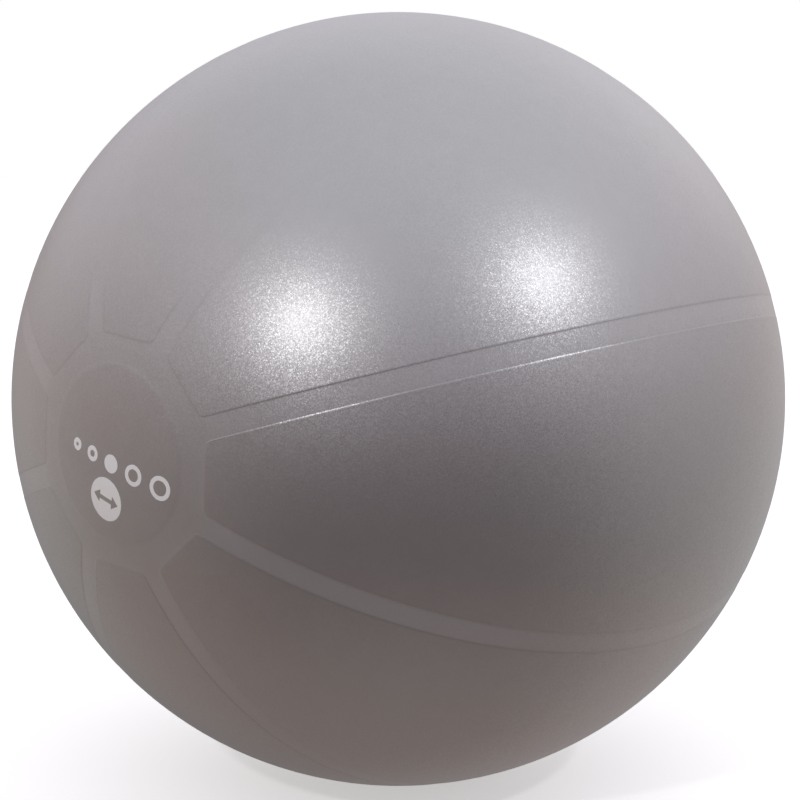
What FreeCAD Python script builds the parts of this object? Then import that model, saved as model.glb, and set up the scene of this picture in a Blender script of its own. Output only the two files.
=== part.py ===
import FreeCAD, Part
import math
import os

# Exercise ball: one moulded skin with raised panels between recessed bands, closed by a push-in plug.
# Millimetres. +Z is up and the floor is z = 0. The origin is the middle of the flat patch on which the
# ball rests. The ball's moulded poles lie on a horizontal line along Y: the printed disc faces -Y and
# the valve is in the middle of the disc that faces +Y.

# Driving dimensions
BALL_DIAMETER = 650.0
WALL = 0.9
RELIEF = 0.16  # how far the bands and the polar rings lie below the panels
PANELS = 8
BAND_WIDTH = 17.5
BAND_ANGLE = 17.9  # degrees from +X towards +Z, of the first band
DISC_RADIUS = 68.5  # the raised disc at each pole, measured from the pole axis
RING_APOTHEM = 87.5  # from the pole axis to the straight end edge of a panel
PANEL_CORNER = 3.0  # rounding of a panel's corners beside the ring
PATCH_RADIUS = 39.0  # the flat that the ball's own weight presses on the floor

# Valve: a welded-in soft sleeve, and the plug that it grips
SEAT_RADIUS = 14.0  # the sleeve's round face in the skin
SEAT_FLANGE_RADIUS = 27.0  # welded under the skin
SEAT_FLANGE = 1.5
SEAT_TUBE_RADIUS = 7.5
SEAT_TUBE_LENGTH = 26.0
DIMPLE_RADIUS = 11.0
DIMPLE_DEPTH = 2.8
BORE_RADIUS = 4.0
PLUG_CLEARANCE = 0.05  # round the stem, and under the head
PLUG_HEAD_RADIUS = 9.6
PLUG_HEAD = 2.2
PLUG_HEAD_EDGE = 0.8  # rounding of the head's outer edge
PLUG_STEM_LENGTH = 21.0
PLUG_CORE_RADIUS = 3.2  # the stem between its ribs
PLUG_RIBS = 4
PLUG_RIB = 2.4  # width of a rib
PLUG_TIP = 3.0  # length of the tapered tip
PLUG_TIP_RADIUS = 2.0

# Print: a scale of five ball sizes, the middle one filled, over a solid disc with an open diameter arrow
INK = 0.1
PRINT_TILT = -17.0  # degrees from +X towards +Z
SCALE_SIZES = (45.0, 55.0, 65.0, 75.0, 85.0)
SCALE_FILLED = 65.0
SCALE_FACTOR = 0.22  # millimetres of print for each centimetre of ball
SCALE_GAP = 8.3
SCALE_MIDDLE = 9.5  # to the right of the pole
SCALE_HEIGHT = -13.0  # of the scale's base line above the pole
LINE = 3.4  # width of the printed lines
SYMBOL_RADIUS = 17.0
SYMBOL_CENTRE = (2.5, -35.5)
ARROW_TIP = 13.5  # from the symbol's centre
ARROW_NECK = 6.5
ARROW_BARB = 5.4
ARROW_SHAFT = 1.8  # half of its width

R = BALL_DIAMETER / 2
CENTRE_Z = math.sqrt(R * R - PATCH_RADIUS * PATCH_RADIUS)
CENTRE = FreeCAD.Vector(0, 0, CENTRE_Z)
Y_AXIS = FreeCAD.Vector(0, 1, 0)
STEP = 360.0 / PANELS
REACH = R + 20.0  # past the ball's surface
ONE_SIDE = R - 40.0  # far enough in to cut or print on one side of the ball only


def sphere(radius):
    return Part.makeSphere(radius, CENTRE)


def rod(radius, y_from, y_to):
    """A cylinder about the pole axis."""
    start = CENTRE + Y_AXIS * y_from
    return Part.makeCylinder(radius, y_to - y_from, start, Y_AXIS)


def panel_prism(middle, band_width, apothem, corner):
    """A prism along Y over one panel: two band edges, and a straight edge beside the polar ring."""
    half = math.radians(STEP / 2)

    def side(u):
        return (u * math.sin(half) - band_width / 2) / math.cos(half)

    corners = [
        (apothem, -side(apothem)),
        (REACH, -side(REACH)),
        (REACH, side(REACH)),
        (apothem, side(apothem)),
    ]
    points = [FreeCAD.Vector(u, -REACH, v) for u, v in corners]
    face = Part.Face(Part.makePolygon(points + points[:1]))
    prism = face.extrude(Y_AXIS * 2 * REACH)
    inner = [
        e for e in prism.Edges
        if abs(e.Vertexes[0].X - apothem) < 1e-6
        and abs(e.Vertexes[1].X - apothem) < 1e-6
        and abs(e.Vertexes[0].Y - e.Vertexes[1].Y) > REACH
    ]
    prism = prism.makeFillet(corner, inner)
    prism.rotate(FreeCAD.Vector(0, 0, 0), Y_AXIS, -middle)
    prism.translate(CENTRE)
    return prism


def relief_ball(inset, floor_z):
    """The ball with its raised panels and discs, everything drawn in by inset, cut flat at floor_z."""
    top = sphere(R - inset)
    pads = [rod(DISC_RADIUS - inset, -REACH, REACH).common(top)]
    for k in range(PANELS):
        middle = BAND_ANGLE + STEP * (k + 0.5)
        prism = panel_prism(middle, BAND_WIDTH + 2 * inset, RING_APOTHEM + inset, PANEL_CORNER)
        pads.append(prism.common(top))
    ball = sphere(R - RELIEF - inset).fuse(pads)
    under = Part.makeBox(4 * R, 4 * R, 4 * R, FreeCAD.Vector(-2 * R, -2 * R, floor_z - 4 * R))
    return ball.cut(under).removeSplitter()


def revolve(outline):
    """A solid from (radius, distance along the pole axis) points, turned about that axis."""
    points = [CENTRE + FreeCAD.Vector(r, y, 0) for r, y in outline]
    face = Part.Face(Part.makePolygon(points + points[:1]))
    return face.revolve(CENTRE, Y_AXIS, 360)


def make_shell():
    skin = relief_ball(0.0, 0.0).cut(relief_ball(WALL, WALL))
    return skin.cut(rod(SEAT_RADIUS, ONE_SIDE, REACH))


def make_seat():
    floor = R - DIMPLE_DEPTH
    under = sphere(R - WALL)
    flange = rod(SEAT_FLANGE_RADIUS, ONE_SIDE, REACH).common(under)
    flange = flange.cut(sphere(R - WALL - SEAT_FLANGE))
    hub = rod(SEAT_RADIUS, floor - SEAT_FLANGE, REACH).common(sphere(R))
    tube = rod(SEAT_TUBE_RADIUS, R - SEAT_TUBE_LENGTH, floor)
    seat = hub.fuse([flange, tube])
    seat = seat.cut(rod(DIMPLE_RADIUS, floor, REACH))
    seat = seat.cut(rod(BORE_RADIUS, ONE_SIDE, REACH))
    return seat.removeSplitter()


def make_plug():
    floor = R - DIMPLE_DEPTH + PLUG_CLEARANCE
    rib_radius = BORE_RADIUS - PLUG_CLEARANCE
    tip = floor - PLUG_STEM_LENGTH
    ribbed = PLUG_STEM_LENGTH - PLUG_TIP
    pitch = ribbed / PLUG_RIBS
    outline = [(0, tip), (PLUG_TIP_RADIUS, tip), (rib_radius, tip + PLUG_TIP)]
    for k in range(PLUG_RIBS):
        y = tip + PLUG_TIP + k * pitch
        outline += [(rib_radius, y + PLUG_RIB), (PLUG_CORE_RADIUS, y + PLUG_RIB)]
        if k < PLUG_RIBS - 1:
            outline += [(PLUG_CORE_RADIUS, y + pitch), (rib_radius, y + pitch)]
    outline += [
        (PLUG_CORE_RADIUS, floor),
        (PLUG_HEAD_RADIUS, floor),
        (PLUG_HEAD_RADIUS, floor + PLUG_HEAD),
        (0, floor + PLUG_HEAD),
    ]
    plug = revolve(outline)
    rim = [
        e for e in plug.Edges
        if abs(e.BoundBox.XLength - 2 * PLUG_HEAD_RADIUS) < 1e-3
        and abs(e.BoundBox.YMax - (floor + PLUG_HEAD)) < 1e-3
        and e.BoundBox.YLength < 1e-3
    ]
    return plug.makeFillet(PLUG_HEAD_EDGE, rim)


def print_disc(x, z, radius):
    """A round block through the printed side, at a place in the print's own frame."""
    return Part.makeCylinder(radius, REACH - ONE_SIDE, FreeCAD.Vector(x, -REACH, z), Y_AXIS)


def print_ring(x, z, radius):
    return print_disc(x, z, radius).cut(print_disc(x, z, radius - LINE))


def print_block(points):
    corners = [FreeCAD.Vector(x, -REACH, z) for x, z in points]
    return Part.Face(Part.makePolygon(corners + corners[:1])).extrude(Y_AXIS * (REACH - ONE_SIDE))


def make_print():
    blocks = []
    radii = [SCALE_FACTOR * s / 2 for s in SCALE_SIZES]
    length = 2 * sum(radii) + SCALE_GAP * (len(radii) - 1)
    x = SCALE_MIDDLE - length / 2
    for size, radius in zip(SCALE_SIZES, radii):
        make = print_disc if size == SCALE_FILLED else print_ring
        blocks.append(make(x + radius, SCALE_HEIGHT + radius, radius))
        x += 2 * radius + SCALE_GAP
    cx, cz = SYMBOL_CENTRE
    upper = [
        (ARROW_TIP, 0),
        (ARROW_NECK, ARROW_BARB),
        (ARROW_NECK, ARROW_SHAFT),
        (-ARROW_NECK, ARROW_SHAFT),
        (-ARROW_NECK, ARROW_BARB),
    ]
    outline = upper + [(-x, -z) for x, z in upper]
    arrow = print_block([(cx + x, cz + z) for x, z in outline])
    blocks.append(print_disc(cx, cz, SYMBOL_RADIUS).cut(arrow))
    layer = sphere(R + INK).cut(sphere(R))
    solids = []
    for block in blocks:
        block.rotate(FreeCAD.Vector(0, 0, 0), Y_AXIS, -PRINT_TILT)
        block.translate(CENTRE)
        solids += block.common(layer).Solids
    return Part.makeCompound(solids)


def main():
    os.makedirs("parts", exist_ok=True)
    nodes = {
        "ball_shell": make_shell(),
        "valve_seat": make_seat(),
        "valve_plug": make_plug(),
        "printed_mark": make_print(),
    }
    for name, shape in nodes.items():
        shape.exportStep(f"parts/{name}.step")
        box = shape.BoundBox
        print(name, len(shape.Solids), shape.isValid(), round(shape.Volume), "mm3",
              [round(v, 2) for v in (box.XMin, box.YMin, box.ZMin, box.XMax, box.YMax, box.ZMax)])


main()
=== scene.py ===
"""Exercise ball: the looks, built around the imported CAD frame. Metres, in the CAD's own frame."""
import math
import bpy
import numpy as np
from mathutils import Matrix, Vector, noise


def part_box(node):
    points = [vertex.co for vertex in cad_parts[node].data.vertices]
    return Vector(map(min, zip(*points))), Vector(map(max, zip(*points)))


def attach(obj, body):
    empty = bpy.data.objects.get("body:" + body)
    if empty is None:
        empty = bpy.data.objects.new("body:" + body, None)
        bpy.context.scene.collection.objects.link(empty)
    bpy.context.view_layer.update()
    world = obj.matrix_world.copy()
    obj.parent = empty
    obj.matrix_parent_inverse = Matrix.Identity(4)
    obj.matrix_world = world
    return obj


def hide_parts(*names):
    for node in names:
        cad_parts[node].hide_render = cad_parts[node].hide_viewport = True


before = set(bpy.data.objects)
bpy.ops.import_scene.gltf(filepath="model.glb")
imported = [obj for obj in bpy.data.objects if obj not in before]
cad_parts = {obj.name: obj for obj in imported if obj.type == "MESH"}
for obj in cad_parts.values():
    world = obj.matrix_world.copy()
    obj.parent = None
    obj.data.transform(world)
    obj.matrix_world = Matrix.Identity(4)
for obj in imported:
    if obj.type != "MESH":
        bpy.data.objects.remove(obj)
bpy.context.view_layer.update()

MM = 0.001

# The ball, from the frame
SHELL_LOW, SHELL_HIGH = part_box("ball_shell")
RADIUS = (SHELL_HIGH.x - SHELL_LOW.x) / 2
CENTRE = Vector((0, 0, SHELL_HIGH.z - RADIUS))

# Moulded relief, as in the CAD: panels and polar discs stand over flat bands and rings
PANELS = 8
SECTOR = 2 * math.pi / PANELS
HALF = SECTOR / 2
BAND_ANGLE = math.radians(17.9)
BAND_WIDTH = 17.5 * MM
DISC_RADIUS = 68.5 * MM
RING_APOTHEM = 87.5 * MM
PANEL_CORNER = 3.0 * MM
RELIEF = 0.16 * MM
EDGE = 1.5 * MM  # width of the step between a band and a panel
SOFT_EDGE = 9.0 * MM  # the same on top of the ball, where the relief hardly shows
RING_EDGE = 3.2 * MM  # and at a panel's end, beside the polar ring
DISC_EDGE = 6.0 * MM  # width of the softer step round a disc
LIP = 0.02 * MM  # height of the fine bead along a panel's edge
LIP_INSIDE = 1.4 * MM  # its middle, inside the edge
LIP_WIDTH = 0.6 * MM
CREASE_SHADE_REACH = 1.4 * MM  # reach of the painted shade line that darkens the skin along a step
CRISP_TOP = 0.37  # height above the centre, in radii, where the steps go soft, the bands lose their finish and the painted crease shade fades out
CRISP_FADE = 0.12  # height over which they do so, in radii
BAND_FADE = 30 * MM  # over which a band's finish and the painted crease shade start at the polar ring
RING_SHARE = 0.4  # how much of the bands' finish the polar ring has
WAVE = 0.1 * MM  # gentle unevenness of the moulded skin
WAVE_LENGTH = 70 * MM
WALL = 0.9 * MM
SETTLE = 0.4 * MM  # half the height of the soft bend where the skin leaves the floor

# Valve, in millimetres, as in the CAD
HOLE_RADIUS = 14.0
HOLE_ROUND = ((0.0, 0.45), (0.15, 0.14), (0.4, 0.02), (1.2, 0.0))  # (distance from the hole's edge, depth)
DIMPLE_RADIUS = 11.0
DIMPLE_DEPTH = 2.8
BORE_RADIUS = 4.0
TUBE_RADIUS = 7.5
TUBE_END = 26.0  # depth below the ball's surface
FLANGE_RADIUS = 27.0
FLANGE_TOP = 2.3  # depth where the sleeve widens under the skin
FACE_GAP = 0.08  # between the sleeve's face and the hole
FACE_DEPTH = 0.36  # the face's outer edge, under the hole's rounded edge
PLUG_GAP = 0.05  # between the plug and its sleeve
HEAD_RADIUS = 9.6
HEAD_HEIGHT = 2.2
STEM_LENGTH = 21.0
CORE_RADIUS = 3.2
RIBS = 4
RIB_PITCH = 4.5

# Print, in millimetres about the pole, as in the CAD
PRINT_TILT = math.radians(-17)
SCALE_SIZES = (45.0, 55.0, 65.0, 75.0, 85.0)
SCALE_FILLED = 65.0
SCALE_FACTOR = 0.22
SCALE_GAP = 8.3
SCALE_MIDDLE = 9.5
SCALE_HEIGHT = -13.0
LINE = 3.4
SYMBOL_RADIUS = 17.0
SYMBOL_CENTRE = (2.5, -35.5)
ARROW_TIP = 13.5
ARROW_NECK = 6.5
ARROW_BARB = 5.4
ARROW_SHAFT = 1.8
INK_LOW = -0.05 * MM
INK_HIGH = 0.1 * MM
GLYPH_SEGMENTS = 72
SYMBOL_STEPS = 10

# Material
CLOUD_SCALE = 5.0  # patches in a metre
MOTTLE_SCALE = 60.0
GRAIN_SCALE = 900.0
FLAKE_SCALE = 1400.0
CLOUD_TONE = 0.12  # how far each moves the tone between the dark and the light colour
MOTTLE_TONE = 0.1
FLAKE_TONE = 0.3
# painted shade: how far the base colour is darkened in the creases beside the steps
CREASE_PAINTED_SHADE = 0.65
FLAKE_TILT = 0.19  # how far the flakes lean, under the clear face
BODY_TILT = 0.09  # and in the body
PVC_ROUGHNESS = 0.42
GRAIN_ROUGHNESS = 0.02
BAND_SMOOTHER = 0.08
PVC_METALLIC = 0.6
BAND_METALLIC = 0.32
COAT_ROUGHNESS = 0.285
PVC_BUMP = (0.2, 0.02 * MM)  # strength and height of the fine grain
PLASTIC_BUMP = (0.3, 0.05 * MM)
PLASTIC_MOTTLE_SCALE = 120.0
PLASTIC_MOTTLE = 0.6  # the mottling's share of a plastic's tone; the grain has the rest
PLASTIC_GRAIN_ROUGHNESS = 0.06
INK_GRAIN_SCALE = 500.0

# Stage
VIEW_AZIMUTH = math.radians(40.96)
VIEW_ELEVATION = math.radians(9.77)
VIEW_DISTANCE = 5.5 * RADIUS
VIEW_AIM = (0.0042, -0.0026)  # off the ball's centre to the right and up, in radii
LENS = 94.19
SENSOR = 36.0
PAPER = (1.0, 1.0, 1.0)
FLOOR_RADIUS = 8.0
FLOOR_GLOW = 0.45
ROOM_STRENGTH = 1.15
ROOM_TONES = (  # (height from -1 below to 1 above, colour): warm floor, dark horizon, cool bright ceiling
    (-1.0, (0.35, 0.3, 0.28)),
    (-0.6, (0.07, 0.03, 0.02)),
    (-0.4, (0.0, 0.0, 0.0)),
    (0.0, (0.05, 0.0, 0.0)),
    (0.3, (0.29, 0.26, 0.31)),
    (0.6, (0.44, 0.4, 0.45)),
    (0.8, (0.59, 0.6, 0.65)),
    (1.0, (0.79, 0.78, 0.83)),
)
ROOM_GLOWS = (  # pale walls: (degrees from +X towards +Y, degrees up, cosine at the glow's edge, colour)
    (60, 0, 0.3, (0.32, 0.31, 0.3)),
    (150, 0, 0.3, (0.17, 0.19, 0.2)),
    (210, 0, 0.3, (0.31, 0.27, 0.24)),
    (30, 30, 0.3, (0.11, 0.11, 0.12)),
    (120, 30, 0.7, (0.18, 0.18, 0.17)),
    (90, -30, 0.7, (0.16, 0.15, 0.15)),
    (90, 10, 0.8, (0.06, 0.06, 0.06)),
    (255, 45, 0.8, (0.06, 0.06, 0.06)),
)

# Mesh lines, closer together where the surface bends
EDGE_LINES = [x * MM for x in (-1.5, -0.75, -0.45, -0.2, 0.0, 0.2, 0.45, 0.75, 1.05, 1.4, 1.8, 2.4, 3.6, 5.6)]
DISC_LINES = [x * MM for x in (-3.0, -2.0, -1.2, -0.5, 0.5, 1.2, 2.0, 3.0)]
BAND_LINES = [0.0, BAND_WIDTH * 0.2, BAND_WIDTH * 0.38]
NEAR_LINES = BAND_LINES + [BAND_WIDTH / 2 + x for x in EDGE_LINES]
INNER_COLUMNS = 9
PANEL_ROWS = 40
INSIDE_STRIDE = 4  # the inside of the skin is plain, so its mesh is coarser


def smooth_step(x):
    x = np.clip(x, 0, 1)
    return x * x * x * (x * (6 * x - 15) + 10)


def relief(rho, local, crisp):
    """Share of the relief's height (0 on bands and rings, 1 on panels and discs), the distance out from
    the ring, and how far the point lies inside the nearest step's edge."""
    u = rho * np.cos(local)
    v = np.abs(rho * np.sin(local))
    end = u - RING_APOTHEM
    a = PANEL_CORNER - (u * math.sin(HALF) - v * math.cos(HALF) - BAND_WIDTH / 2)
    b = PANEL_CORNER - end
    outside = np.hypot(np.maximum(a, 0), np.maximum(b, 0)) + np.minimum(np.maximum(a, b), 0)
    inside, disc = PANEL_CORNER - outside, DISC_RADIUS - rho
    edge = EDGE + (SOFT_EDGE - EDGE) * (1 - crisp)
    edge = edge + np.maximum(RING_EDGE - edge, 0) * smooth_step((b - a) / PANEL_CORNER + 0.5)
    raised = smooth_step(np.maximum(inside / edge, disc / DISC_EDGE) + 0.5)
    return raised, end, np.where(np.abs(disc) < np.abs(inside), disc, inside)


def skin_radius(theta, local, height):
    """The skin's distance from the ball's centre, the share that is band, and the share of painted shade
    along the creases.
    """
    rho = RADIUS * np.sin(theta)
    crisp = smooth_step((CRISP_TOP - height) / CRISP_FADE + 0.5)
    raised, end, inside = relief(rho, local, crisp)
    lip = LIP * np.exp(-((inside - LIP_INSIDE) / LIP_WIDTH) ** 2) * smooth_step(end / BAND_FADE) * crisp
    band = (1 - raised) * (RING_SHARE + (1 - RING_SHARE) * smooth_step(end / BAND_FADE + 0.5)) * crisp
    # painted shade along each step, faded out on top of the ball and near the polar ring
    crease_shade = np.exp(-(inside / CREASE_SHADE_REACH) ** 2) * smooth_step(end / BAND_FADE + 0.2) * crisp
    return RADIUS - RELIEF * (1 - raised) + lip, band, crease_shade


def column_angles(rho):
    """Angles from the panel's middle line of one sector's mesh columns, on a circle of each radius."""
    near = np.arcsin(np.clip(np.array(NEAR_LINES)[:, None] / np.maximum(rho, DISC_RADIUS), 0, 0.99))
    share = np.linspace(0, 1, INNER_COLUMNS + 1)[1:, None]
    inner = near[-1] + (HALF - near[-1]) * share
    left = np.vstack([near, inner]) - HALF
    return np.vstack([left, -left[-2:0:-1]])


def grid_rows():
    """How each mesh row runs, from a pole out to the equator: (kind, value)."""
    disc = [("circle", x * MM) for x in (6, 12, 18, 24, 30, 36, 42, 48, 54, 60, 64)]
    edge = [("circle", DISC_RADIUS + x) for x in DISC_LINES]
    ring = [("ring", x) for x in (0.25, 0.5, 0.75)]
    chord = [("chord", RING_APOTHEM + x) for x in EDGE_LINES]
    panel = [("panel", x / PANEL_ROWS) for x in range(1, PANEL_ROWS)]
    return disc + edge + ring + chord + panel


def row_points(kind, value):
    """Polar angle and angle from the panel's middle of one sector's vertices in a row."""
    rho = np.full(len(NEAR_LINES) * 2 + INNER_COLUMNS * 2 - 2, RADIUS * 0.5)
    ring_from = DISC_RADIUS + DISC_LINES[-1]
    ring_to = RING_APOTHEM + EDGE_LINES[0]
    for _ in range(8):
        local = np.diagonal(column_angles(rho))
        if kind == "circle":
            rho = np.full_like(local, value)
        elif kind == "ring":
            rho = ring_from + (ring_to / np.cos(local) - ring_from) * value
        elif kind == "chord":
            rho = value / np.cos(local)
        else:
            start = np.arcsin((RING_APOTHEM + EDGE_LINES[-1]) / np.cos(local) / RADIUS)
            rho = RADIUS * np.sin(start + (math.pi / 2 - start) * value)
    return np.arcsin(np.clip(rho / RADIUS, 0, 1)), local


def place(theta, phi, radius):
    """Points at a polar angle from the -Y pole and an angle from +X towards +Z."""
    x = radius * np.sin(theta) * np.cos(phi)
    y = -radius * np.cos(theta)
    z = radius * np.sin(theta) * np.sin(phi)
    return np.stack([x, y, z], -1) + np.array(CENTRE)


def full_turn(local):
    """One sector's angles, repeated round the ball."""
    middles = BAND_ANGLE + SECTOR * (np.arange(PANELS) + 0.5)
    return (middles[:, None] + local[None, :]).ravel(), np.tile(local, PANELS)


def waved(points):
    """Moves points in and out by a slow, small noise along the ball's own radius."""
    out = np.empty_like(points)
    for i, p in enumerate(points):
        n = (Vector(p) - CENTRE).normalized()
        out[i] = p + np.array(n * (WAVE * noise.noise(Vector(p) / WAVE_LENGTH)))
    return out


def mesh_object(name, points, faces, smooth=True):
    mesh = bpy.data.meshes.new(name)
    mesh.from_pydata([tuple(p) for p in points], [], faces)
    mesh.validate()
    mesh.polygons.foreach_set("use_smooth", [smooth] * len(mesh.polygons))
    mesh.update()
    piece = bpy.data.objects.new(name, mesh)
    bpy.context.scene.collection.objects.link(piece)
    return piece


def skin_mesh():
    """The moulded skin: an outer face with the relief, a plain inner face, joined round the valve hole."""
    rows = grid_rows()
    near_pole = [row_points(*row) for row in rows]
    equator = [row_points("circle", RADIUS)]
    hole = [row_points("circle", (HOLE_RADIUS + distance) * MM) for distance, _ in HOLE_ROUND]
    round_end = (HOLE_RADIUS + 2 * HOLE_ROUND[-1][0]) * MM
    beyond = [row_points(*row) for row in rows if row[0] != "circle" or row[1] > round_end]
    far = [(math.pi - theta, local) for theta, local in hole + beyond]
    all_rows = near_pole + equator + far[::-1]
    depths = [0.0] * (len(all_rows) - len(HOLE_ROUND)) + [depth for _, depth in HOLE_ROUND[::-1]]

    points = [place(np.zeros(1), np.zeros(1), RADIUS)]
    finish_and_shade = [np.zeros((2, 1))]
    for (theta, local), depth in zip(all_rows, depths):
        phi, turned = full_turn(local)
        theta = np.tile(theta, PANELS)
        radius, band, crease_shade = skin_radius(theta, turned, np.sin(theta) * np.sin(phi))
        points.append(place(theta, phi, radius - depth * MM))
        finish_and_shade.append(np.array([band, crease_shade]))
    around = len(points[-1])
    faces = [(0, 1 + i, 1 + (i + 1) % around) for i in range(around)]
    for j in range(len(all_rows) - 1):
        low, high = 1 + j * around, 1 + (j + 1) * around
        for i in range(around):
            k = (i + 1) % around
            faces.append((low + i, high + i, high + k, low + k))
    outer_last = 1 + (len(all_rows) - 1) * around

    inner_radius = RADIUS - RELIEF - WALL
    inside = all_rows[::-1][::INSIDE_STRIDE]
    first = outer_last + around
    few = around // INSIDE_STRIDE
    for theta, local in inside:
        phi, _ = full_turn(local)
        theta = np.tile(theta, PANELS)
        points.append(place(theta, phi, inner_radius)[::INSIDE_STRIDE])
        finish_and_shade.append(np.zeros((2, few)))
    for j in range(few):
        k = (j + 1) % few
        start = j * INSIDE_STRIDE
        edge = [outer_last + (start + i) % around for i in range(INSIDE_STRIDE + 1)]
        faces.append(tuple([first + j, first + k] + edge[::-1]))
    for r in range(len(inside) - 1):
        low, high = first + r * few, first + (r + 1) * few
        for j in range(few):
            k = (j + 1) % few
            faces.append((low + j, high + j, high + k, low + k))
    last = first + (len(inside) - 1) * few
    points.append(place(np.zeros(1), np.zeros(1), inner_radius))
    finish_and_shade.append(np.zeros((2, 1)))
    pole = last + few
    faces += [(last + (j + 1) % few, last + j, pole) for j in range(few)]

    points = waved(np.vstack(points))
    inner = np.arange(len(points)) >= first
    floor = np.where(inner, WALL, 0.0)
    height = points[:, 2] - floor
    bend = np.maximum(height + SETTLE, 0) ** 2 / (4 * SETTLE)
    points[:, 2] = floor + np.where(height < SETTLE, bend, height)
    piece = mesh_object("ball_skin", points, faces)
    # the bands' finish and the painted crease shade go to the material as point values
    for name, values in zip(("band", "crease_shade"), np.hstack(finish_and_shade)):
        attribute = piece.data.attributes.new(name, "FLOAT", "POINT")
        attribute.data.foreach_set("value", values.astype(np.float32))
    return piece


def revolved(name, profile, segments=96):
    """A closed round piece about the pole axis. The profile is (radius, depth below the ball's surface)
    points in millimetres, and starts and ends on the axis or closes on itself."""
    surface = CENTRE.y + RADIUS
    on_axis = profile[0][0] == 0
    ring = profile[1:-1] if on_axis else profile
    points, faces = [], []
    for r, depth in ring:
        for i in range(segments):
            a = 2 * math.pi * i / segments
            points.append((r * MM * math.cos(a), surface - depth * MM, CENTRE.z + r * MM * math.sin(a)))
    count = len(ring)
    for j in range(count - 1 if on_axis else count):
        low, high = j * segments, (j + 1) % count * segments
        for i in range(segments):
            k = (i + 1) % segments
            faces.append((low + i, low + k, high + k, high + i))
    if on_axis:
        for tip, base, turn in ((profile[0], 0, 1), (profile[-1], (count - 1) * segments, -1)):
            points.append((0, surface - tip[1] * MM, CENTRE.z))
            fan = [(len(points) - 1, base + (i + 1) % segments, base + i) for i in range(segments)]
            faces += [f[::turn] for f in fan]
    return mesh_object(name, points, faces)


def rounded(corners, steps=5):
    """Profile points from (radius, depth, size of the round) corners. The first and last stay sharp."""
    out = [corners[0]]
    for before, corner, after in zip(corners, corners[1:], corners[2:]):
        p, c, n = (np.array(x[:2], float) for x in (before, corner, after))
        reach = min(corner[2], np.linalg.norm(p - c) * 0.45, np.linalg.norm(n - c) * 0.45)
        a = c + (p - c) / np.linalg.norm(p - c) * reach
        b = c + (n - c) / np.linalg.norm(n - c) * reach
        for t in np.linspace(0, 1, steps):
            out.append(tuple((1 - t) ** 2 * a + 2 * t * (1 - t) * c + t * t * b))
    out.append(corners[-1][:2])
    return out


def sleeve_mesh():
    """The soft sleeve: a face flush with the disc, a dimple for the plug's head, a flange under the skin."""
    face = HOLE_RADIUS - FACE_GAP
    profile = rounded([
        (BORE_RADIUS, 16.0),
        (BORE_RADIUS, DIMPLE_DEPTH, 0.5),
        (DIMPLE_RADIUS, DIMPLE_DEPTH, 0.6),
        (DIMPLE_RADIUS, 0.25, 0.5),
        (face, FACE_DEPTH, 0.4),
        (face, FLANGE_TOP + 0.3, 0.1),
        (FLANGE_RADIUS, FLANGE_TOP + 1.1, 0.3),
        (FLANGE_RADIUS, FLANGE_TOP + 2.1, 0.4),
        (TUBE_RADIUS + 1.2, 5.2, 1.5),
        (TUBE_RADIUS, TUBE_END, 0.8),
        (BORE_RADIUS, TUBE_END, 0.5),
        (BORE_RADIUS, 17.0),
    ])
    return revolved("valve_sleeve", profile)


def plug_mesh():
    """The stopper: a dished round head with a soft edge, and a stem with barbed ribs and a taper."""
    under = DIMPLE_DEPTH - PLUG_GAP
    top = under - HEAD_HEIGHT
    tip = under + STEM_LENGTH
    rib = BORE_RADIUS - PLUG_GAP
    corners = [
        (0, top + 0.45),
        (4.4, top + 0.45, 0.6),
        (5.6, top, 0.5),
        (HEAD_RADIUS, top + 0.12, 0.9),
        (HEAD_RADIUS, under, 0.35),
        (CORE_RADIUS, under, 0.5),
    ]
    for k in range(RIBS):
        start = under + 2.1 + k * RIB_PITCH
        corners += [
            (CORE_RADIUS, start, 0.3),
            (rib, start + 0.25, 0.3),
            (CORE_RADIUS + 0.25, start + 2.4, 0.4),
        ]
    corners += [(CORE_RADIUS - 0.3, tip - 2.6, 0.6), (2.0, tip, 0.9), (0, tip)]
    return revolved("air_plug", rounded(corners))


def on_print(x, z, lift):
    """A point of the print's own frame, laid on the printed disc."""
    turned_x = (x * math.cos(PRINT_TILT) - z * math.sin(PRINT_TILT)) * MM
    turned_z = (x * math.sin(PRINT_TILT) + z * math.cos(PRINT_TILT)) * MM
    depth = math.sqrt((RADIUS + lift) ** 2 - turned_x ** 2 - turned_z ** 2)
    return CENTRE + Vector((turned_x, -depth, turned_z))


def round_rows(cx, cz, radii):
    """Rows of a round glyph, one for each radius."""
    turn = [2 * math.pi * i / GLYPH_SEGMENTS for i in range(GLYPH_SEGMENTS)]
    return [[(cx + r * math.cos(a), cz + r * math.sin(a)) for a in turn] for r in radii]


def symbol_rows(cx, cz):
    """Rows from the open double arrow in the symbol's middle out to its round edge."""
    half = [((ARROW_TIP, 0), 0), ((ARROW_NECK, ARROW_BARB), 50), ((ARROW_NECK, ARROW_SHAFT), 70),
            ((-ARROW_NECK, ARROW_SHAFT), 110), ((-ARROW_NECK, ARROW_BARB), 130)]
    corners = half + [((-x, -z), turn + 180) for (x, z), turn in half] + [(half[0][0], 360)]
    rows = []
    for share in np.linspace(0, 1, 6):
        row = []
        for ((x0, z0), turn0), ((x1, z1), turn1) in zip(corners, corners[1:]):
            for t in np.linspace(0, 1, SYMBOL_STEPS, endpoint=False):
                turn = math.radians(turn0 + (turn1 - turn0) * t)
                x = (1 - share) * (x0 + (x1 - x0) * t) + share * SYMBOL_RADIUS * math.cos(turn)
                z = (1 - share) * (z0 + (z1 - z0) * t) + share * SYMBOL_RADIUS * math.sin(turn)
                row.append((cx + x, cz + z))
        rows.append(row)
    return rows


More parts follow.
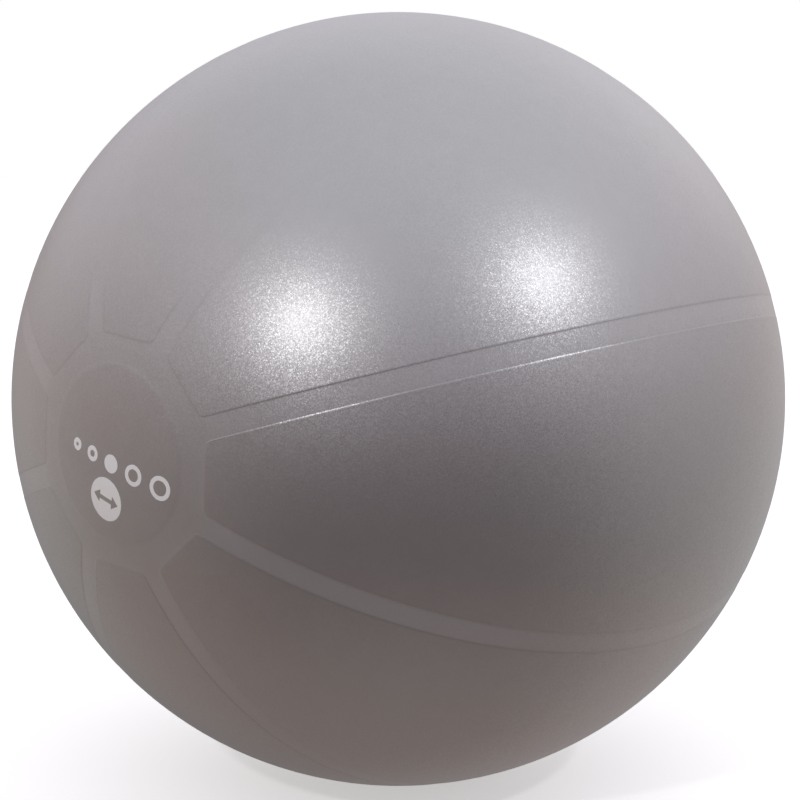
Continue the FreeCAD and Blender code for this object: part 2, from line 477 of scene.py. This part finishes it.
def glyph(rows):
    """A closed thin solid from rows of (x, z) points, each a loop inside the next."""
    count, around = len(rows), len(rows[0])
    flat = [p for row in rows for p in row]
    points = [on_print(x, z, lift) for lift in (INK_LOW, INK_HIGH) for x, z in flat]
    top = len(flat)
    faces = []
    for j in range(count - 1):
        for i in range(around):
            a, b = j * around + i, j * around + (i + 1) % around
            c, d = b + around, a + around
            faces += [(a, b, c, d), (top + d, top + c, top + b, top + a)]
    for i in range(around):
        last = (count - 1) * around
        for a, b in ((i, (i + 1) % around), (last + (i + 1) % around, last + i)):
            faces.append((a, top + a, top + b, b))
    return points, faces


def print_mesh():
    """The ink: a scale of five ball sizes with one filled, over a solid disc with an open diameter arrow."""
    glyphs = []
    radii = [SCALE_FACTOR * size / 2 for size in SCALE_SIZES]
    x = SCALE_MIDDLE - (2 * sum(radii) + SCALE_GAP * (len(radii) - 1)) / 2
    for size, r in zip(SCALE_SIZES, radii):
        inner = 0.02 if size == SCALE_FILLED else r - LINE
        glyphs.append(glyph(round_rows(x + r, SCALE_HEIGHT + r, np.linspace(inner, r, 5))))
        x += 2 * r + SCALE_GAP
    glyphs.append(glyph(symbol_rows(*SYMBOL_CENTRE)))
    points, faces = [], []
    for own_points, own_faces in glyphs:
        faces += [tuple(v + len(points) for v in f) for f in own_faces]
        points += own_points
    return mesh_object("ink_print", waved(np.array([tuple(p) for p in points])), faces, smooth=False)


# Materials

def new_material(name):
    material = bpy.data.materials.new(name)
    material.use_nodes = True
    nodes, links = material.node_tree.nodes, material.node_tree.links
    shader = nodes["Principled BSDF"]
    place_of = nodes.new("ShaderNodeTexCoord").outputs["Object"]
    return material, nodes, links, shader, place_of


def add_noise(nodes, links, place_of, scale, detail=2.0):
    noise_node = nodes.new("ShaderNodeTexNoise")
    noise_node.inputs["Scale"].default_value = scale
    noise_node.inputs["Detail"].default_value = detail
    links.new(place_of, noise_node.inputs["Vector"])
    return noise_node.outputs["Fac"]


def add_range(nodes, links, value, low, high, from_low=0.3, from_high=0.7):
    node = nodes.new("ShaderNodeMapRange")
    node.inputs["From Min"].default_value = from_low
    node.inputs["From Max"].default_value = from_high
    node.inputs["To Min"].default_value = low
    node.inputs["To Max"].default_value = high
    links.new(value, node.inputs["Value"])
    return node.outputs["Result"]


def add_math(nodes, links, kind, a, b):
    node = nodes.new("ShaderNodeMath")
    node.operation = kind
    for socket, value in zip(node.inputs, (a, b)):
        if isinstance(value, (int, float)):
            socket.default_value = value
        else:
            links.new(value, socket)
    return node.outputs["Value"]


def add_mix(nodes, links, factor, dark, light):
    node = nodes.new("ShaderNodeMix")
    node.data_type = "RGBA"
    node.inputs["A"].default_value = (*dark, 1)
    node.inputs["B"].default_value = (*light, 1)
    links.new(factor, node.inputs["Factor"])
    return node.outputs["Result"]


def add_vector(nodes, links, kind, a, b):
    node = nodes.new("ShaderNodeVectorMath")
    node.operation = kind
    for socket, value in zip(node.inputs, (a, b)):
        if isinstance(value, tuple):
            socket.default_value = value
        elif value is not None:
            links.new(value, socket)
    return node.outputs["Vector"]


def add_bump(nodes, links, height, strength, distance):
    node = nodes.new("ShaderNodeBump")
    node.inputs["Strength"].default_value = strength
    node.inputs["Distance"].default_value = distance
    links.new(height, node.inputs["Height"])
    return node.outputs["Normal"]


def flaked_normal(nodes, links, flake, bump_normal, amount):
    """The normal, turned a little and at random on each mica flake."""
    off = add_vector(nodes, links, "SUBTRACT", flake, (0.5, 0.5, 0.5))
    tilt = add_vector(nodes, links, "MULTIPLY", off, (amount, amount, amount))
    leaning = add_vector(nodes, links, "ADD", bump_normal, tilt)
    return add_vector(nodes, links, "NORMALIZE", leaning, None)


def point_value(nodes, name):
    """A value that the mesh carries at each point."""
    node = nodes.new("ShaderNodeAttribute")
    node.attribute_name = name
    return node.outputs["Fac"]


def pvc_material(name, dark, light, banded):
    """Pearl-grey PVC: a metallic-satin body with mica flakes glinting in its face. The skin's bands, cast
    against a polished part of the mould, are smoother and less metallic, with painted shade darkening the
    creases beside them."""
    material, nodes, links, shader, place_of = new_material(name)
    clouds = add_noise(nodes, links, place_of, CLOUD_SCALE, 3.0)
    mottle = add_noise(nodes, links, place_of, MOTTLE_SCALE, 3.0)
    grain = add_noise(nodes, links, place_of, GRAIN_SCALE, 2.0)
    cells = nodes.new("ShaderNodeTexVoronoi")
    cells.inputs["Scale"].default_value = FLAKE_SCALE
    links.new(place_of, cells.inputs["Vector"])
    flake = cells.outputs["Color"]
    tone = add_range(nodes, links, clouds, 0.5 - CLOUD_TONE, 0.5 + CLOUD_TONE)
    for part in (add_range(nodes, links, mottle, -MOTTLE_TONE, MOTTLE_TONE),
                 add_range(nodes, links, flake, -FLAKE_TONE, FLAKE_TONE, 0.0, 1.0)):
        tone = add_math(nodes, links, "ADD", tone, part)
    rough = add_range(nodes, links, grain, PVC_ROUGHNESS - GRAIN_ROUGHNESS, PVC_ROUGHNESS + GRAIN_ROUGHNESS)
    shader.inputs["Metallic"].default_value = PVC_METALLIC
    if banded:
        band, crease_shade = point_value(nodes, "band"), point_value(nodes, "crease_shade")
        # painted shade: the base colour is darkened along the creases
        tone = add_math(nodes, links, "ADD", tone, add_math(nodes, links, "MULTIPLY", crease_shade, -CREASE_PAINTED_SHADE))
        rough = add_math(nodes, links, "SUBTRACT", rough,
                         add_math(nodes, links, "MULTIPLY", band, BAND_SMOOTHER))
        links.new(add_range(nodes, links, band, PVC_METALLIC, BAND_METALLIC, 0.0, 1.0),
                  shader.inputs["Metallic"])
    links.new(add_mix(nodes, links, tone, dark, light), shader.inputs["Base Color"])
    links.new(rough, shader.inputs["Roughness"])

    even = add_bump(nodes, links, grain, *PVC_BUMP)
    links.new(flaked_normal(nodes, links, flake, even, BODY_TILT), shader.inputs["Normal"])
    shader.inputs["Coat Weight"].default_value = 1.0
    shader.inputs["Coat Roughness"].default_value = COAT_ROUGHNESS
    links.new(flaked_normal(nodes, links, flake, even, FLAKE_TILT), shader.inputs["Coat Normal"])
    return material


def plastic_material(name, dark, light, roughness, grain_scale):
    """Plain moulded plastic or ink, with a fine grain and faint mottling."""
    material, nodes, links, shader, place_of = new_material(name)
    mottle = add_noise(nodes, links, place_of, PLASTIC_MOTTLE_SCALE, 4.0)
    grain = add_noise(nodes, links, place_of, grain_scale, 3.0)
    tone = add_math(nodes, links, "ADD", add_range(nodes, links, mottle, 0.0, PLASTIC_MOTTLE),
                    add_range(nodes, links, grain, 0.0, 1 - PLASTIC_MOTTLE))
    links.new(add_mix(nodes, links, tone, dark, light), shader.inputs["Base Color"])
    low, high = roughness - PLASTIC_GRAIN_ROUGHNESS, roughness + PLASTIC_GRAIN_ROUGHNESS
    links.new(add_range(nodes, links, grain, low, high), shader.inputs["Roughness"])
    links.new(add_bump(nodes, links, grain, *PLASTIC_BUMP), shader.inputs["Normal"])
    return material


def dress(piece, material, body, node):
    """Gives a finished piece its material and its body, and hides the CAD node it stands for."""
    piece.data.materials.append(material)
    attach(piece, body)
    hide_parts(node)


# Stage

def camera_axes():
    """Right, up and back of the camera, which looks at the ball's centre."""
    a, e = VIEW_AZIMUTH, VIEW_ELEVATION
    back = Vector((math.sin(a) * math.cos(e), -math.cos(a) * math.cos(e), math.sin(e)))
    right = Vector((math.cos(a), math.sin(a), 0))
    return right, back.cross(right), back


def add_camera():
    right, up, back = camera_axes()
    data = bpy.data.cameras.new("camera")
    data.sensor_width = SENSOR
    data.lens = LENS
    camera = bpy.data.objects.new("camera", data)
    aim = CENTRE + (right * VIEW_AIM[0] + up * VIEW_AIM[1]) * RADIUS
    camera.location = aim + back * VIEW_DISTANCE
    camera.rotation_euler = back.to_track_quat("Z", "Y").to_euler()
    bpy.context.scene.collection.objects.link(camera)
    bpy.context.scene.camera = camera


def add_lamp(name, azimuth, elevation, distance, size, watts, colour):
    """A round area lamp that faces the ball, so many degrees to the right of the camera and above it."""
    right, up, back = camera_axes()
    a, e = math.radians(azimuth), math.radians(elevation)
    towards = right * math.sin(a) * math.cos(e) + up * math.sin(e) + back * math.cos(a) * math.cos(e)
    data = bpy.data.lights.new(name, "AREA")
    data.shape = "DISK"
    data.size = size
    data.energy = watts
    data.color = colour
    lamp = bpy.data.objects.new(name, data)
    lamp.location = CENTRE + towards * distance
    lamp.rotation_euler = towards.to_track_quat("Z", "Y").to_euler()
    bpy.context.scene.collection.objects.link(lamp)


def add_world():
    """A soft room: bright above, dim and warm below. The camera itself sees plain pale paper."""
    world = bpy.data.worlds.new("room")
    bpy.context.scene.world = world
    world.use_nodes = True
    nodes, links = world.node_tree.nodes, world.node_tree.links
    place_of = nodes.new("ShaderNodeTexCoord").outputs["Generated"]
    split = nodes.new("ShaderNodeSeparateXYZ")
    links.new(place_of, split.inputs["Vector"])
    height = add_range(nodes, links, split.outputs["Z"], 0.0, 1.0, -1.0, 1.0)
    ramp = nodes.new("ShaderNodeValToRGB")
    links.new(height, ramp.inputs["Fac"])
    elements = ramp.color_ramp.elements
    while len(elements) < len(ROOM_TONES):
        elements.new(0.5)
    for element, (z, colour) in zip(elements, ROOM_TONES):
        element.position = (z + 1) / 2
        element.color = (*colour, 1)
    pale = nodes.new("ShaderNodeBackground")
    pale.inputs["Color"].default_value = (*PAPER, 1)
    room = nodes["Background"]
    room.inputs["Strength"].default_value = ROOM_STRENGTH
    light = ramp.outputs["Color"]
    for azimuth, elevation, edge, colour in ROOM_GLOWS:
        a, e = math.radians(azimuth), math.radians(elevation)
        facing = nodes.new("ShaderNodeVectorMath")
        facing.operation = "DOT_PRODUCT"
        links.new(place_of, facing.inputs[0])
        facing.inputs[1].default_value = (math.cos(a) * math.cos(e), math.sin(a) * math.cos(e), math.sin(e))
        glow = nodes.new("ShaderNodeMapRange")
        glow.interpolation_type = "SMOOTHSTEP"
        glow.inputs["From Min"].default_value = edge
        links.new(facing.outputs["Value"], glow.inputs["Value"])
        tinted = add_vector(nodes, links, "MULTIPLY", glow.outputs["Result"], colour)
        light = add_vector(nodes, links, "ADD", light, tinted)
    links.new(light, room.inputs["Color"])
    seen = nodes.new("ShaderNodeMixShader")
    links.new(nodes.new("ShaderNodeLightPath").outputs["Is Camera Ray"], seen.inputs["Fac"])
    links.new(room.outputs["Background"], seen.inputs[1])
    links.new(pale.outputs["Background"], seen.inputs[2])
    links.new(seen.outputs["Shader"], nodes["World Output"].inputs["Surface"])


def add_floor():
    """A pale floor that shows the ball's shadow. The room's own lower half lights the ball instead of it."""
    mesh = bpy.data.meshes.new("floor")
    turn = [2 * math.pi * i / 128 for i in range(128)]
    mesh.from_pydata([(FLOOR_RADIUS * math.cos(a), FLOOR_RADIUS * math.sin(a), 0) for a in turn], [],
                     [tuple(range(128))])
    floor = bpy.data.objects.new("floor", mesh)
    bpy.context.scene.collection.objects.link(floor)
    material, nodes, links, shader, place_of = new_material("pale_floor")
    mottle = add_noise(nodes, links, place_of, 2.0, 2.0)
    pale = add_mix(nodes, links, mottle, (0.84, 0.84, 0.84), (0.88, 0.88, 0.88))
    links.new(pale, shader.inputs["Base Color"])
    shader.inputs["Roughness"].default_value = 0.9
    shader.inputs["Emission Color"].default_value = (1, 1, 1, 1)
    shader.inputs["Emission Strength"].default_value = FLOOR_GLOW
    mesh.materials.append(material)
    floor.visible_glossy = False
    floor.visible_diffuse = False


add_camera()
add_world()
add_floor()
add_lamp("ceiling_lamp_left", -25.9, 18.7, 2.4, 0.14, 10.7, (0.99, 0.985, 1.0))
add_lamp("ceiling_lamp_right", 42.2, 28.3, 2.4, 0.13, 9.3, (0.96, 0.97, 1.0))
bpy.context.scene.view_settings.view_transform = "Standard"

ball_pvc = pvc_material("pearl_pvc", (0.39, 0.39, 0.39), (0.45, 0.45, 0.45), True)
valve_pvc = pvc_material("valve_pvc", (0.36, 0.36, 0.36), (0.42, 0.42, 0.42), False)
plug_plastic = plastic_material("plug_plastic", (0.55, 0.55, 0.53), (0.75, 0.75, 0.73), 0.35, GRAIN_SCALE)
print_ink = plastic_material("print_ink", (0.93, 0.96, 0.95), (0.96, 0.99, 0.98), 0.5, INK_GRAIN_SCALE)
dress(skin_mesh(), ball_pvc, "ball", "ball_shell")
dress(sleeve_mesh(), valve_pvc, "ball", "valve_seat")
dress(plug_mesh(), plug_plastic, "plug", "valve_plug")
dress(print_mesh(), print_ink, "ball", "printed_mark")
